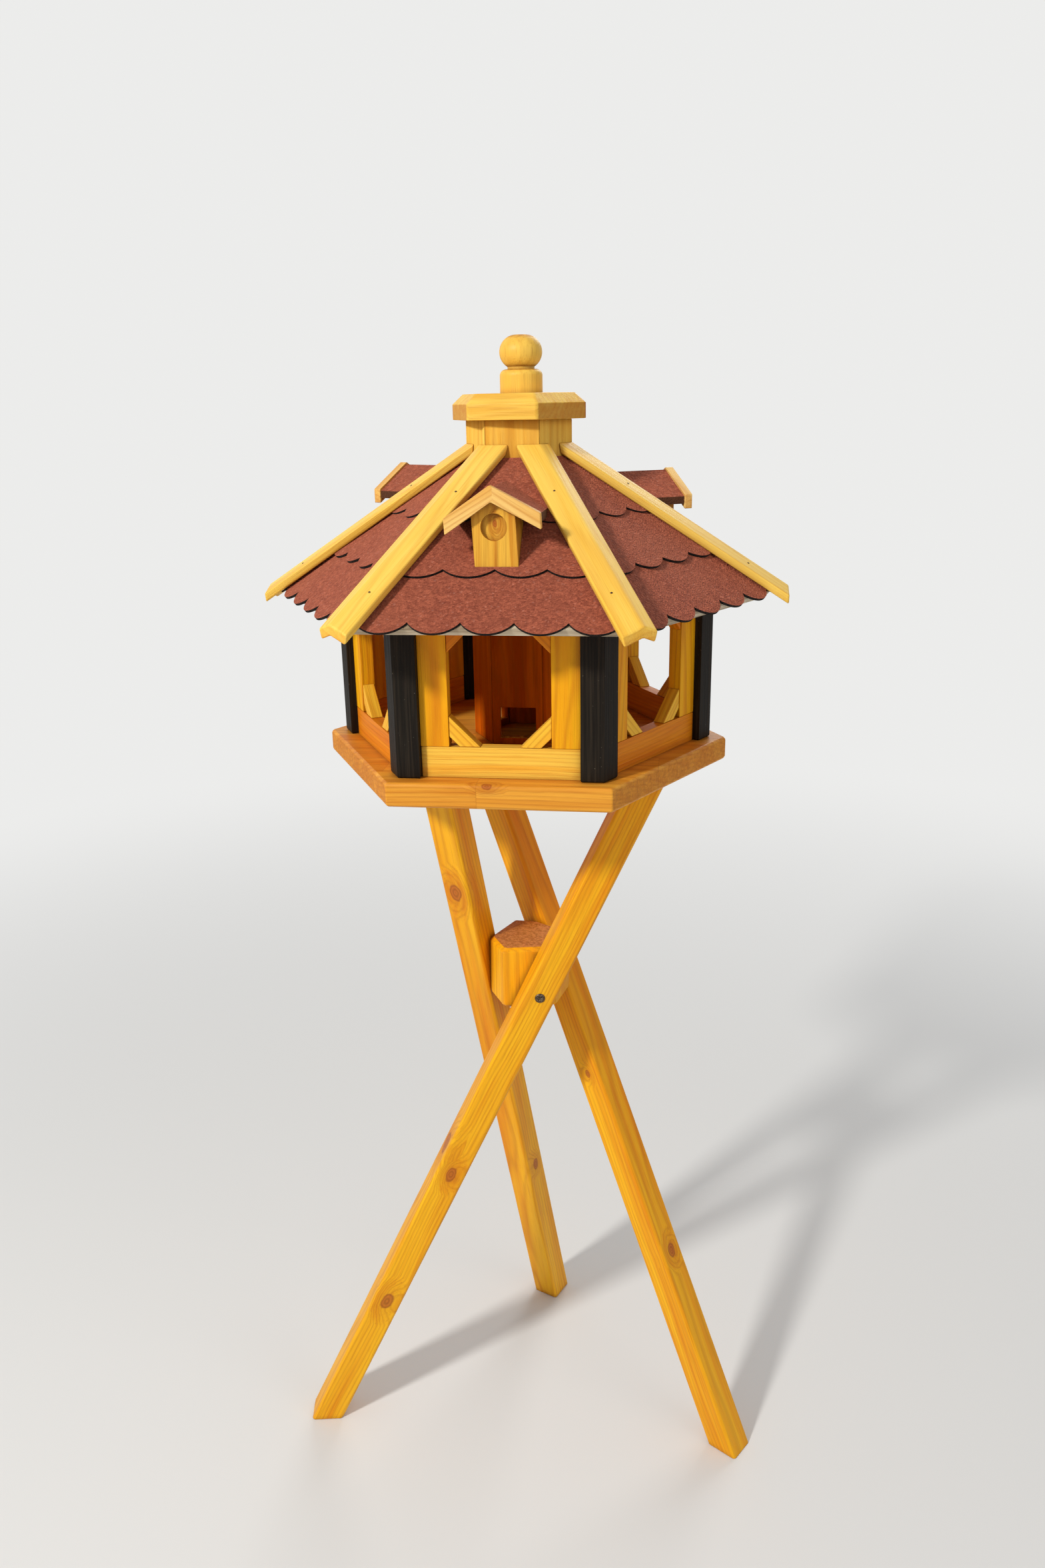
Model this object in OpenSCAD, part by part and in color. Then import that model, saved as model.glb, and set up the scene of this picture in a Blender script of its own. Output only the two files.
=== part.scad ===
// Hexagonal bird feeder house on a twisted three-leg stand.
// Millimetres, +Z up. The ground is z = 0 and the house stands about the Z axis,
// with two corners on the X axis and its front side facing -Y.

/* [Stand] */
// height of the underside of the base plate
stand_height = 965.5; // [850:0.5:1100]
// side of the square leg section
leg_width = 40; // [30:0.5:60]
// flat taken off each long edge of a leg
leg_ease = 3; // [1:0.5:6]
// distance from the axis to the middle of each leg
leg_offset = 63; // [50:0.5:90]
// lean of the front leg from upright
front_leg_angle = 25.4; // [10:0.1:32]
// lean of the right leg from upright
right_leg_angle = 24.5; // [10:0.1:32]
// lean of the rear leg from upright
rear_leg_angle = 14.8; // [10:0.1:32]
// turn of the front leg about the axis
front_leg_rotation = 10.3; // [0:0.1:30]
// turn of the right leg about the axis
right_leg_rotation = 147.4; // [130:0.1:165]
// turn of the rear leg about the axis
rear_leg_rotation = 246.4; // [230:0.1:265]
// height where the front leg passes nearest the axis
front_leg_cross = 643; // [560:1:720]
// height where the right leg passes nearest the axis
right_leg_cross = 654; // [560:1:720]
// height where the rear leg passes nearest the axis
rear_leg_cross = 592; // [560:1:720]
// height of the centre block
hub_height = 86; // [60:1:140]
// height of the middle of the centre block
hub_middle = 673; // [560:1:760]
// distance from the axis to the cut corners of the centre block
hub_corner = 48; // [45:0.5:60]
// turn from each leg's face of the block to the corner cut beside it
hub_corner_rotation = 70; // [55:1:80]
// chamfer round the head and the foot of the block
hub_chamfer = 5; // [0:0.5:10]

/* [Base plate] */
// distance from the axis to the plate corners
plate_radius = 250; // [200:1:320]
// thickness of the base plate
plate_thickness = 28.5; // [15:0.5:40]
// bevel of the plate edges
plate_ease = 3; // [1:0.5:8]

/* [Corner posts] */
// distance from the axis to the outer edge of a post
post_radius = 230; // [190:1:300]
// width of each of the two outer faces of a post
post_face = 26; // [18:0.5:40]
// depth of a post behind its outer faces
post_depth = 26; // [20:0.5:40]
// how far the posts stand proud of the wall boards
post_proud = 9; // [3:0.5:14]
// gap between a post and the boards beside it
post_gap = 0.2; // [0.1:0.05:1]

/* [Side frames] */
// thickness of the stiles and rails
board_thickness = 16; // [10:0.5:22]
// width of the upright boards beside an opening
stile_width = 31.8; // [25:0.1:40]
// height of the opening in a side
opening_height = 139.5; // [100:0.5:170]
// height of the top rail at its outer face
top_rail_height = 41.4; // [20:0.1:50]
// height of the bottom rail
bottom_rail_height = 35; // [20:0.5:60]
// distance from the opening's corner to the far edge of a brace
brace_reach = 35; // [24:0.5:50]
// distance from the opening's corner to the near edge of a brace
brace_inset = 12; // [4:0.5:20]
// thickness of a brace
brace_thickness = 14; // [8:0.5:20]

/* [Roof] */
// pitch of the roof slopes
roof_pitch = 36.9; // [30:0.1:42]
// distance from the axis to the eave of the roof boards
eave_apothem = 256; // [240:0.5:280]
// thickness of the roof boards
roof_thickness = 10; // [5:0.5:14]
// gap between the roof boards at the hips
roof_gap = 0.2; // [0.1:0.05:1]

/* [Shingles] */
// thickness of the felt
shingle_thickness = 3; // [1.5:0.1:4]
// spacing of the scallops along a course
scallop_pitch = 55; // [35:0.5:80]
// depth of the scallops of the upper courses
scallop_depth = 11; // [6:0.5:18]
// depth of the scallops at the eave, which droop past the roof boards
eave_scallop_depth = 15; // [8:0.5:20]
// distance up the slope from the board's eave to the cusps of the lowest course
course_1 = 5.5; // [0:0.5:10]
// the same for the middle course
course_2 = 78; // [60:0.5:95]
// the same for the top course
course_3 = 160; // [130:0.5:180]
// how far a course presses into the felt of the one below
course_bite = 0.2; // [0.1:0.05:0.6]
// length of a course hidden under the next one
course_lap = 18; // [8:1:30]

/* [Hip strips] */
// width of a flange of a hip strip
strip_width = 25; // [15:0.5:40]
// width of the outer flange of the two front hip strips, which is narrower
outer_flange_width = 17; // [12:0.5:30]
// thickness of a flange
strip_thickness = 10; // [5:0.5:14]
// distance from the axis to the outer end of a strip's ridge
strip_radius = 316; // [280:1:400]

/* [Dormers] */
// distance from the axis to the front of a dormer
dormer_apothem = 194; // [170:0.5:230]
// width of a dormer's front
dormer_width = 46; // [36:0.5:70]
// height of a dormer's body from the foot of its front to its apex
dormer_height = 78.5; // [60:0.5:90]
// pitch of a dormer's roof
dormer_pitch = 31; // [20:0.5:45]
// thickness of a dormer roof slab
dormer_slab = 7.5; // [4:0.5:12]
// distance from the dormer's middle to the ends of its barge boards
barge_reach = 50.5; // [35:0.5:70]
// height of a barge board, measured upright
barge_height = 16.8; // [10:0.1:26]
// thickness of a barge board
barge_thickness = 10; // [6:0.5:16]
// how far the ends of the barge boards stand past the dormer roof
barge_return = 2; // [0:0.5:6]
// how far the barge boards rise over the dormer roof
barge_lip = 3; // [0:0.5:6]
// diameter of the blind round recess in a dormer's front
recess_diameter = 28; // [16:0.5:36]
// depth of the recess
recess_depth = 6; // [2:0.5:12]
// distance of the recess's middle below the apex of the body
recess_drop = 31; // [24:0.5:40]
// roll of the front dormer, which is set askew
front_dormer_rotation = 3; // [0:0.1:8]
// how far the front dormer stands to the right of the middle of its slope
front_dormer_shift = 2; // [-8:0.5:8]
// how far the dormer at the back left stands further in than the others
back_left_dormer_inset = 13.5; // [-8:0.5:18]
// gap between a dormer and the shingles cut round it
dormer_gap = 0.2; // [0.1:0.05:1]

/* [Silo and cap] */
// distance from the axis to the corners of the silo shaft
silo_radius = 62; // [50:0.5:80]
// thickness of the silo boards
silo_wall = 10; // [6:0.5:16]
// gap between the silo shaft and the roof
silo_gap = 0.2; // [0.1:0.05:1]
// gap between the silo boards
silo_joint = 0.2; // [0.1:0.05:1]
// width of the seed opening at the foot of every other silo board
seed_width = 44; // [20:0.5:48]
// height of a seed opening
seed_height = 38; // [15:0.5:60]
// height of the sill of a seed opening
seed_sill = 8; // [3:0.5:20]
// height of the shaft's neck above the roof boards
neck_height = 45.5; // [25:0.5:70]
// distance from the axis to the corners of the cap
cap_radius = 80.5; // [70:0.5:110]
// thickness of the cap
cap_height = 28.5; // [15:0.5:40]
// height of the slope round the top of the cap
cap_slope_height = 11; // [4:0.5:14]
// inset of that slope at the cap's corners
cap_slope_inset = 13; // [4:0.5:25]
// turn of the cap, which sits askew on the shaft
cap_rotation = -7.3; // [-15:0.1:15]

/* [Finial] */
// how far the finial stands off the middle of the cap
finial_shift = 4; // [0:0.5:10]
// largest radius of the finial
finial_radius = 24.5; // [15:0.5:35]
// height of the finial's round foot
finial_foot = 26; // [15:0.5:40]
// rounding of the foot's shoulder
finial_shoulder = 7; // [3:0.5:10]
// how far the waist runs up into the ball
finial_tenon = 4; // [2:0.5:8]
// radius of the waist under the ball
finial_waist = 15.5; // [8:0.5:20]
// half height of the flattened ball
ball_half = 18.5; // [10:0.5:25]

/* [Hidden] */
$fn = 96;
big = 900;
floor_z = stand_height + plate_thickness;
post_apothem = post_radius * cos(30);
wall_apothem = post_apothem - post_proud;
// half the clear width between two posts, along a side
bay_half = post_radius / 2 - post_face - post_gap;
opening_width = 2 * (bay_half - stile_width);
opening_top = bottom_rail_height + opening_height;
roof_rise = tan(roof_pitch);
// the roof boards lie on the outer edges of the top rails
eave_height = opening_top + top_rail_height + roof_thickness / cos(roof_pitch)
    - (eave_apothem - wall_apothem) * roof_rise;
lap_height = 2 * shingle_thickness;
// lift of a course's lower edge by the course below
course_lift = shingle_thickness - course_bite;
silo_apothem = silo_radius * cos(30);
silo_height = roof_top(silo_apothem) + neck_height;
dormer_foot = roof_top(dormer_apothem);
dormer_apex = dormer_foot + dormer_height;
slope_length = (eave_apothem - silo_apothem) / cos(roof_pitch);
hub_apothem = leg_offset - leg_width / 2;
// flat round the axis that widens the ball
ball_flat = finial_radius - ball_half;
// how far cutting shapes run past what they cut
overrun = 60;

wood = [0.86, 0.58, 0.20];
dark_wood = [0.10, 0.09, 0.08];
felt = [0.55, 0.24, 0.18];

// height of the roof boards' top plane above the base plate, at a distance from the axis
function roof_top(apothem) = eave_height + (eave_apothem - apothem) * roof_rise;
// the same for their underside
function roof_underside(apothem) = roof_top(apothem) - roof_thickness / cos(roof_pitch);

// turns a piece drawn for the front to another side of the house, standing on the base plate
module side(k) {
    translate([0, 0, floor_z]) rotate([0, 0, 60 * k]) children();
}

// the frame of the front roof slope: X along the eave, Y up the slope, Z out of the roof
module slope() {
    translate([0, -eave_apothem, eave_height]) rotate([roof_pitch, 0, 0]) children();
}

// upright wedge over one sixth of the house, drawn back from its neighbours by half a gap
module wedge(gap) {
    translate([0, -gap, -big]) linear_extrude(2 * big)
        polygon([[0, 0], [-big * tan(30), -big], [big * tan(30), -big]]);
}

// what the silo shaft takes out of the roof
module shaft_clearance() {
    translate([0, 0, -big]) cylinder(h = 2 * big, r = silo_radius + silo_gap / cos(30), $fn = 6);
}

// a bar profile with its four long edges taken off
module eased_square(width, ease) {
    half = width / 2;
    polygon([[-half + ease, -half], [half - ease, -half], [half, -half + ease], [half, half - ease],
        [half - ease, half], [-half + ease, half], [-half, half - ease], [-half, -half + ease]]);
}

// a leg passes the axis at leg_offset and is cut level at the ground and under the plate
module leg(turn, lean, cross) {
    color(wood) intersection() {
        rotate([0, 0, turn]) translate([0, -leg_offset, cross]) rotate([0, lean, 0])
            translate([0, 0, -big]) linear_extrude(2 * big) eased_square(leg_width, leg_ease);
        translate([-big, -big, 0]) cube([2 * big, 2 * big, stand_height]);
    }
}

// the block that the legs are screwed to: one face against each leg, corners cut off, ends chamfered
module hub_block() {
    color(wood) translate([0, 0, hub_middle - hub_height / 2]) hull() {
        linear_extrude(hub_height) hub_outline(hub_chamfer);
        translate([0, 0, hub_chamfer]) linear_extrude(hub_height - 2 * hub_chamfer) hub_outline(0);
    }
}

module hub_outline(inset) {
    intersection() {
        hub_half_plane(front_leg_rotation, hub_apothem - inset);
        hub_half_plane(right_leg_rotation, hub_apothem - inset);
        hub_half_plane(rear_leg_rotation, hub_apothem - inset);
        hub_half_plane(front_leg_rotation - hub_corner_rotation, hub_corner - inset);
        hub_half_plane(right_leg_rotation - hub_corner_rotation, hub_corner - inset);
        hub_half_plane(rear_leg_rotation - hub_corner_rotation, hub_corner - inset);
    }
}

module hub_half_plane(turn, distance) {
    rotate(turn) translate([-big, -distance]) square([2 * big, big]);
}

module base_plate() {
    color(wood) translate([0, 0, stand_height]) {
        cylinder(h = plate_ease, r1 = plate_radius - plate_ease, r2 = plate_radius, $fn = 6);
        translate([0, 0, plate_ease])
            cylinder(h = plate_thickness - 2 * plate_ease, r = plate_radius, $fn = 6);
        translate([0, 0, plate_thickness - plate_ease])
            cylinder(h = plate_ease, r1 = plate_radius, r2 = plate_radius - plate_ease, $fn = 6);
    }
}

// five-sided posts, one face along each of the two walls they join, cut off under the roof
module corner_posts() {
    edge = [post_face * cos(120), post_face * sin(120)];
    back = [-post_depth * cos(30), -post_depth * sin(30)];
    color(dark_wood) for (k = [0:5]) translate([0, 0, floor_z]) rotate([0, 0, 60 * k])
        linear_extrude(roof_underside(post_apothem))
            polygon([[post_radius, 0],
                [post_radius + edge[0], edge[1]],
                [post_radius + edge[0] + back[0], edge[1] + back[1]],
                [post_radius + edge[0] + back[0], -edge[1] - back[1]],
                [post_radius + edge[0], -edge[1]]]);
}

// a board of the front side frame, drawn as its outline in X and Z, its face at a depth
module wall_board(depth, thickness) {
    translate([0, -wall_apothem + depth, 0]) rotate([90, 0, 0])
        translate([0, 0, -thickness]) linear_extrude(thickness) children();
}

module stiles(k) {
    color(wood) side(k) for (x = [-bay_half, opening_width / 2])
        wall_board(0, board_thickness) translate([x, bottom_rail_height]) square([stile_width, opening_height]);
}

module bottom_rails() {
    color(wood) for (k = [0:5]) side(k) wall_board(0, board_thickness)
        translate([-bay_half, 0]) square([2 * bay_half, bottom_rail_height]);
}

// the top rails are bevelled to the underside of the roof
module top_rails() {
    outer = wall_apothem;
    inner = wall_apothem - board_thickness;
    color(wood) for (k = [0:5]) side(k) translate([-bay_half, 0, 0]) rotate([90, 0, 90])
        linear_extrude(2 * bay_half)
            polygon([[-outer, opening_top], [-inner, opening_top],
                [-inner, roof_underside(inner)], [-outer, roof_underside(outer)]]);
}

// a strip across one corner of the opening
module brace() {
    corner = opening_width / 2;
    wall_board((board_thickness - brace_thickness) / 2, brace_thickness)
        polygon([[corner, brace_reach], [corner, brace_inset],
            [corner - brace_inset, 0], [corner - brace_reach, 0]]);
}

module lower_braces() {
    color(wood) for (k = [0:5]) side(k) for (flip = [0, 1])
        mirror([flip, 0, 0]) translate([0, 0, bottom_rail_height]) brace();
}

module upper_braces() {
    color(wood) for (k = [0:5]) side(k) for (flip = [0, 1])
        mirror([flip, 0, 0]) translate([0, 0, opening_top]) mirror([0, 0, 1]) brace();
}

module roof_panel(k) {
    color(wood) side(k) difference() {
        intersection() {
            slope() translate([-big / 2, 0, -roof_thickness])
                cube([big, slope_length + overrun, roof_thickness]);
            wedge(roof_gap);
        }
        shaft_clearance();
    }
}

// one course: a sheet with a scalloped lower edge, from its cusps up to its top
module course(cusps, top, shift, depth) {
    radius = (pow(scallop_pitch / 2, 2) + pow(depth, 2)) / (2 * depth);
    translate([-big / 2, cusps]) square([big, top - cusps]);
    for (i = [-4:4])
        translate([(i + shift) * scallop_pitch, cusps + radius - depth]) circle(radius);
}

// a course lies with its lower edge lifted on the course below and its top on the roof board
module laid_course(cusps, top, shift, lift, depth) {
    tilt = atan(lift / (top - cusps));
    slope() translate([0, top, 0]) rotate([-tilt, 0, 0]) translate([0, -top, 0])
        linear_extrude(shingle_thickness) course(cusps, top, shift, depth);
}

module shingles(k, dormer) {
    color(felt) side(k) difference() {
        intersection() {
            union() {
                laid_course(course_1, course_2 + course_lap, 0, 0, eave_scallop_depth);
                laid_course(course_2, course_3 + course_lap, 0.5, course_lift, scallop_depth);
                laid_course(course_3, slope_length + overrun, 0, course_lift, scallop_depth);
            }
            wedge(roof_gap);
        }
        shaft_clearance();
        if (dormer) dormer_turned(k) dormer_prism(dormer_gap);
    }
}

// the far side of the hip to the right of the front slope, as a mirror image of the front slope
module across_hip() {
    rotate([0, 0, -60]) mirror([0, 1, 0]) rotate([0, 0, 60]) children();
}

// everything under the strip's outer face on the front slope and inside its edge there
module strip_side(width) {
    run = tan(30) * cos(roof_pitch);
    // half width of the slope where the strip's outer face meets the hip
    ridge = tan(30) * (eave_apothem + (lap_height + strip_thickness) * sin(roof_pitch));
    edge = ridge - width / cos(atan(run));
    slope() translate([0, 0, lap_height + strip_thickness - big]) linear_extrude(big)
        polygon([[edge + run * big, -big], [2 * big, -big], [2 * big, big], [edge - run * big, big]]);
}

// two flanges in one piece, bent over the hip between side k and the next
module hip_strip(k, near_width, far_width) {
    color(wood) side(k) difference() {
        intersection() {
            strip_side(near_width);
            across_hip() strip_side(far_width);
            rotate([0, 0, -60]) translate([0, -big, -big]) cube([strip_radius, 2 * big, 2 * big]);
        }
        intersection() {
            below_slope(lap_height);
            across_hip() below_slope(lap_height);
        }
        shaft_clearance();
    }
}

// everything under a plane parallel to the front roof boards
module below_slope(height) {
    slope() translate([-big, -big, height - big]) cube([2 * big, 2 * big, big]);
}

// the front dormer is set askew about the foot of its front, and the back left one higher on its slope
module dormer_turned(k) {
    roll = k == 0 ? front_dormer_rotation : 0;
    shift = k == 0 ? front_dormer_shift : 0;
    inset = k == 4 ? back_left_dormer_inset : 0;
    translate([shift, inset, dormer_foot + inset * roof_rise]) rotate([0, -roll, 0])
        translate([0, 0, -dormer_foot]) children();
}

// the dormer's outline, grown by a gap, from its front to the axis
module dormer_prism(gap) {
    half = dormer_width / 2 + gap;
    foot = dormer_foot - overrun;
    peak = dormer_apex + gap;
    eave = peak - half * tan(dormer_pitch);
    translate([0, gap, 0]) rotate([90, 0, 0]) linear_extrude(dormer_apothem + 2 * gap)
        polygon([[-half, foot], [half, foot], [half, eave], [0, peak], [-half, eave]]);
}

module dormer_body(k) {
    color(wood) side(k) difference() {
        dormer_turned(k) difference() {
            dormer_prism(0);
            translate([0, -dormer_apothem + recess_depth, dormer_apex - recess_drop]) rotate([90, 0, 0])
                cylinder(h = 2 * recess_depth, d = recess_diameter);
        }
        below_slope(0);
    }
}

// an inverted V between two heights at the middle, reaching out to both sides
module gable(low, high, reach) {
    fall = reach * tan(dormer_pitch);
    polygon([[0, low], [reach, low - fall], [reach, high - fall],
        [0, high], [-reach, high - fall], [-reach, low - fall]]);
}

// the felted gable over a dormer runs back until it meets the shingles
module dormer_roof(k) {
    top = dormer_apex + dormer_slab / cos(dormer_pitch);
    color(felt) side(k) difference() {
        dormer_turned(k) rotate([90, 0, 0]) linear_extrude(dormer_apothem)
            gable(dormer_apex, top, barge_reach - barge_return);
        below_slope(lap_height);
    }
}

// mitred boards across the front of the dormer's roof
module barge_boards(k) {
    top = dormer_apex + dormer_slab / cos(dormer_pitch) + barge_lip;
    color(wood) side(k) dormer_turned(k) translate([0, -dormer_apothem, 0]) rotate([90, 0, 0])
        linear_extrude(barge_thickness) gable(top - barge_height, top, barge_reach);
}

// six boards mitred to a shaft from the floor to the cap, every other one open at its foot
module silo_boards() {
    inner = silo_apothem - silo_wall;
    reach = tan(30);
    color(wood) for (k = [0:5]) side(k) difference() {
        linear_extrude(silo_height) translate([0, -silo_joint])
            polygon([[-inner * reach, -inner], [-silo_apothem * reach, -silo_apothem],
                [silo_apothem * reach, -silo_apothem], [inner * reach, -inner]]);
        if (k % 2 == 0) translate([-seed_width / 2, -silo_radius, seed_sill])
            cube([seed_width, silo_radius, seed_height]);
    }
}

module silo_cap() {
    rim = cap_height - cap_slope_height;
    color(wood) translate([0, 0, floor_z + silo_height]) rotate([0, 0, cap_rotation]) {
        cylinder(h = rim, r = cap_radius, $fn = 6);
        translate([0, 0, rim])
            cylinder(h = cap_slope_height, r1 = cap_radius, r2 = cap_radius - cap_slope_inset, $fn = 6);
    }
}

// turned in one piece: a round foot with a rounded shoulder, and a flattened ball
module finial() {
    color(wood) translate([finial_shift, 0, floor_z + silo_height + cap_height]) rotate_extrude() {
        square([finial_radius, finial_foot - finial_shoulder]);
        square([finial_radius - finial_shoulder, finial_foot]);
        translate([finial_radius - finial_shoulder, finial_foot - finial_shoulder])
            intersection() {
                circle(finial_shoulder);
                square(finial_shoulder);
            }
        square([finial_waist, finial_foot + finial_tenon]);
        translate([0, finial_foot]) square([ball_flat, 2 * ball_half]);
        translate([ball_flat, finial_foot + ball_half]) intersection() {
            circle(ball_half);
            translate([0, -ball_half]) square([ball_half, 2 * ball_half]);
        }
    }
}

leg(front_leg_rotation, front_leg_angle, front_leg_cross);  // leg_front
leg(right_leg_rotation, right_leg_angle, right_leg_cross);  // leg_right
leg(rear_leg_rotation, rear_leg_angle, rear_leg_cross);  // leg_rear
hub_block();
base_plate();
corner_posts();
stiles(0);  // stiles_front
stiles(1);  // stiles_front_right
stiles(2);  // stiles_back_right
stiles(3);  // stiles_back
stiles(4);  // stiles_back_left
stiles(5);  // stiles_front_left
bottom_rails();
top_rails();
lower_braces();
upper_braces();
roof_panel(0);  // roof_panel_front
roof_panel(1);  // roof_panel_front_right
roof_panel(2);  // roof_panel_back_right
roof_panel(3);  // roof_panel_back
roof_panel(4);  // roof_panel_back_left
roof_panel(5);  // roof_panel_front_left
shingles(0, true);  // shingles_front
shingles(1, false);  // shingles_front_right
shingles(2, true);  // shingles_back_right
shingles(3, false);  // shingles_back
shingles(4, true);  // shingles_back_left
shingles(5, false);  // shingles_front_left
hip_strip(0, strip_width, outer_flange_width);  // hip_strip_front_right
hip_strip(1, strip_width, strip_width);  // hip_strip_right
hip_strip(2, strip_width, strip_width);  // hip_strip_back_right
hip_strip(3, strip_width, strip_width);  // hip_strip_back_left
hip_strip(4, strip_width, strip_width);  // hip_strip_left
hip_strip(5, outer_flange_width, strip_width);  // hip_strip_front_left
dormer_body(0);  // dormer_body_front
dormer_body(2);  // dormer_body_back_right
dormer_body(4);  // dormer_body_back_left
dormer_roof(0);  // dormer_roof_front
dormer_roof(2);  // dormer_roof_back_right
dormer_roof(4);  // dormer_roof_back_left
barge_boards(0);  // barge_boards_front
barge_boards(2);  // barge_boards_back_right
barge_boards(4);  // barge_boards_back_left
silo_boards();
silo_cap();
finial();
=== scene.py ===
# Looks of the hexagonal bird feeder on its three-leg stand: stained wood, black posts, felt roof.
import math

import bmesh
import bpy
from mathutils import Matrix, Vector


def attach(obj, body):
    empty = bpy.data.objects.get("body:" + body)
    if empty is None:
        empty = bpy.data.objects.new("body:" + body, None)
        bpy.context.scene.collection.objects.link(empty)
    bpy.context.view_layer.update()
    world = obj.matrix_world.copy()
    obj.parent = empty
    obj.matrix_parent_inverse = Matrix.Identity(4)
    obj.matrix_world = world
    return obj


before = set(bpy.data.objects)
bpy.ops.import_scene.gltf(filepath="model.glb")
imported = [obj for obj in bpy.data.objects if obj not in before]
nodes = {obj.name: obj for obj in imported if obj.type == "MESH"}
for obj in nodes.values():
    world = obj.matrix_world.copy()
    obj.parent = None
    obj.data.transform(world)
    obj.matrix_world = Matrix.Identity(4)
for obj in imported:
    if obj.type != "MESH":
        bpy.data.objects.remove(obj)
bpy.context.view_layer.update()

# sizes repeated from the part's source, in metres and degrees
LEG_WIDTH = 0.040
LEG_OFFSET = 0.063
LEGS = {
    "leg_front": {"turn": 10.3, "lean": 25.4, "cross": 0.643},
    "leg_right": {"turn": 147.4, "lean": 24.5, "cross": 0.654},
    "leg_rear": {"turn": 246.4, "lean": 14.8, "cross": 0.592},
}
FLOOR_Z = 0.994
PLATE_APOTHEM = 0.2165
ROOF_PITCH = 36.9
EAVE_APOTHEM = 0.256
# top of the roof boards at the eave, above the floor
EAVE_RISE = 0.179
EAVE_Z = FLOOR_Z + EAVE_RISE
# from the roof boards to the outer face of a hip strip, square to the slope
STRIP_FACE = 0.016
DORMER_PITCH = 31.0
CAP_TURN = -7.3

# the house repeats in sixths about its upright axis; bearings in degrees from the right towards the back
SIDES = ["front", "front_right", "back_right", "back", "back_left", "front_left"]
DORMER_SIDES = ["front", "back_right", "back_left"]
CORNERS = {
    "front_right": -60, "right": 0, "back_right": 60,
    "back_left": 120, "left": 180, "front_left": 240,
}
SIXTH = math.radians(60)
HALF_SIXTH = SIXTH / 2
# bearing of the first of six like pieces, where they stand on the sides or at the corners
ON_SIDES = -90
AT_CORNERS = 0

# light, dark and ring line colour of each wood, as a screen shows them; the rail colours, also taken by
# the upper braces, are painted darker and more orange than the front rails and lower braces, as painted
# shade
LEG_WOOD = ((252, 190, 26), (230, 142, 8), (184, 96, 8))
HUB_WOOD = ((252, 184, 20), (234, 150, 12), (140, 74, 32))
PLATE_WOOD = ((238, 168, 58), (212, 132, 34), (168, 88, 20))
STILE_WOOD = ((252, 190, 16), (238, 154, 10), (188, 96, 8))
RAIL_WOOD_PAINTED_SHADE = ((240, 150, 20), (214, 112, 10), (180, 86, 8))
LOWER_BRACE_WOOD = ((252, 206, 66), (244, 174, 40), (196, 108, 16))
ROOF_BOARD_WOOD = ((236, 168, 84), (204, 124, 50), (166, 88, 34))
STRIP_WOOD = ((251, 212, 102), (243, 190, 68), (212, 138, 40))
DORMER_WOOD = ((247, 194, 72), (206, 136, 36), (158, 92, 24))
BARGE_WOOD = ((246, 208, 128), (232, 174, 84), (198, 126, 52))
SILO_WOOD = ((250, 208, 98), (234, 174, 66), (172, 88, 22))
CAP_WOOD = ((250, 208, 92), (232, 170, 56), (178, 102, 30))
FINIAL_WOOD = ((250, 204, 88), (228, 166, 56), (176, 110, 42))
# light and dark colour of the front rails, painted paler as light, and of the silo inside the house,
# painted darker as shade
FRONT_RAIL_PAINTED_LIGHT = ((251, 208, 84), (240, 168, 44))
SILO_PAINTED_SHADE_INSIDE = ((228, 112, 14), (182, 76, 6))
# sawn ends
HUB_END = (196, 126, 72)
STRIP_END = (222, 154, 58)
CAP_END = (178, 84, 14)
# other colours of the wood: knots, the black-brown of the shade painted into corners, and bare boards
KNOT_DARK = (150, 70, 24)
KNOT_LIGHT = (186, 98, 34)
WOOD_CORNER_SHADE = (60, 26, 8)
BARE_LIGHT = (212, 196, 168)
BARE_DARK = (150, 128, 100)
# black stain
STAIN_DARK = (24, 19, 14)
STAIN_LIGHT = (46, 38, 29)
STAIN_PATCH = (22, 21, 16)
STAIN_SPECK = (128, 120, 105)
# felt
GRANULE_DARK = (138, 68, 49)
GRANULE_LIGHT = (180, 99, 73)
GRANULE_PALE = (214, 150, 130)
CLUMP = (122, 58, 41)
CLOUD = (172, 100, 74)
CUT_BITUMEN = (26, 19, 16)
CUT_DORMER_FELT = (92, 56, 36)
# steel, dark and light
SCREW_STEEL = ((70, 58, 46), (128, 110, 90))
NAIL_STEEL = ((70, 50, 34), (120, 96, 70))


def srgb(red, green, blue):
    """Linear colour from the 0 to 255 values a screen shows."""
    out = []
    for value in (red, green, blue):
        v = value / 255
        out.append(v / 12.92 if v <= 0.04045 else ((v + 0.055) / 1.055) ** 2.4)
    return (*out, 1.0)


# small helpers for building node trees

def feed(tree, socket, value):
    if isinstance(value, bpy.types.NodeSocket):
        tree.links.new(value, socket)
    else:
        socket.default_value = value


def add(tree, kind, **settings):
    node = tree.nodes.new(kind)
    for key, value in settings.items():
        setattr(node, key, value)
    return node


def calc(tree, operation, a, b=0.0, c=0.0, clamp=False):
    node = add(tree, "ShaderNodeMath", operation=operation, use_clamp=clamp)
    for socket, value in zip(node.inputs, (a, b, c)):
        feed(tree, socket, value)
    return node.outputs[0]


def vector_calc(tree, operation, a, b=(0.0, 0.0, 0.0)):
    node = add(tree, "ShaderNodeVectorMath", operation=operation)
    feed(tree, node.inputs[0], a)
    feed(tree, node.inputs[1], b)
    return node.outputs["Value"] if operation in ("LENGTH", "DOT_PRODUCT") else node.outputs["Vector"]


def split(tree, vector):
    node = add(tree, "ShaderNodeSeparateXYZ")
    feed(tree, node.inputs[0], vector)
    return node.outputs[0], node.outputs[1], node.outputs[2]


def join(tree, x, y, z):
    node = add(tree, "ShaderNodeCombineXYZ")
    for socket, value in zip(node.inputs, (x, y, z)):
        feed(tree, socket, value)
    return node.outputs[0]


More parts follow.
